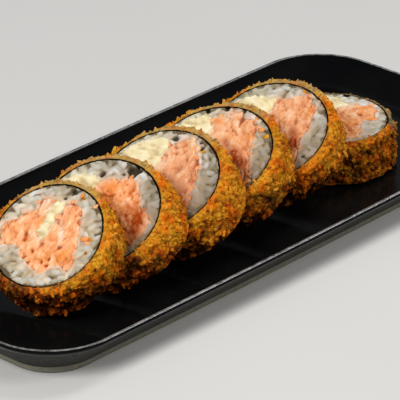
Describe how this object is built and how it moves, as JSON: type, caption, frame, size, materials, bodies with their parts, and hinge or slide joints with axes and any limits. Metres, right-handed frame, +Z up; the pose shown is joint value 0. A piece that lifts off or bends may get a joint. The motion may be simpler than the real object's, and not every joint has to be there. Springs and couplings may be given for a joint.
{
  "type": "fried sushi roll on a serving tray",
  "caption": "Thick slices of a breaded fried sushi roll with salmon, cream cheese and rice, leaning in a row along a long black tray with rounded corners.",
  "frame": {"origin": "under the middle of the tray, on the surface that it stands on", "axes": "+X along the tray, from the slice that lies on top of the row to the one that lies flat; +Y across the tray to its far side; +Z up"},
  "size_m": [0.2714, 0.1182, 0.0445],
  "materials": {
    "tray": "gloss black glaze",
    "coating": "fried crumbs",
    "nori": "damp seaweed",
    "rice": "cooked rice",
    "salmon": "cooked fish",
    "cheese": "soft cream cheese"
  },
  "bodies": {
    "root": {"tray": "tray", "slice_1_coating": "coating", "slice_1_nori": "nori", "slice_1_rice": "rice", "slice_1_salmon": "salmon", "slice_1_cheese": "cheese", "slice_2_coating": "coating", "slice_2_nori": "nori", "slice_2_rice": "rice", "slice_2_salmon": "salmon", "slice_2_cheese": "cheese", "slice_3_coating": "coating", "slice_3_nori": "nori", "slice_3_rice": "rice", "slice_3_salmon": "salmon", "slice_3_cheese": "cheese", "slice_4_coating": "coating", "slice_4_nori": "nori", "slice_4_rice": "rice", "slice_4_salmon": "salmon", "slice_4_cheese": "cheese", "slice_5_coating": "coating", "slice_5_nori": "nori", "slice_5_rice": "rice", "slice_5_salmon": "salmon", "slice_5_cheese": "cheese", "slice_6_coating": "coating", "slice_6_nori": "nori", "slice_6_rice": "rice", "slice_6_salmon": "salmon", "slice_6_cheese": "cheese"}
  },
  "joints": []
}
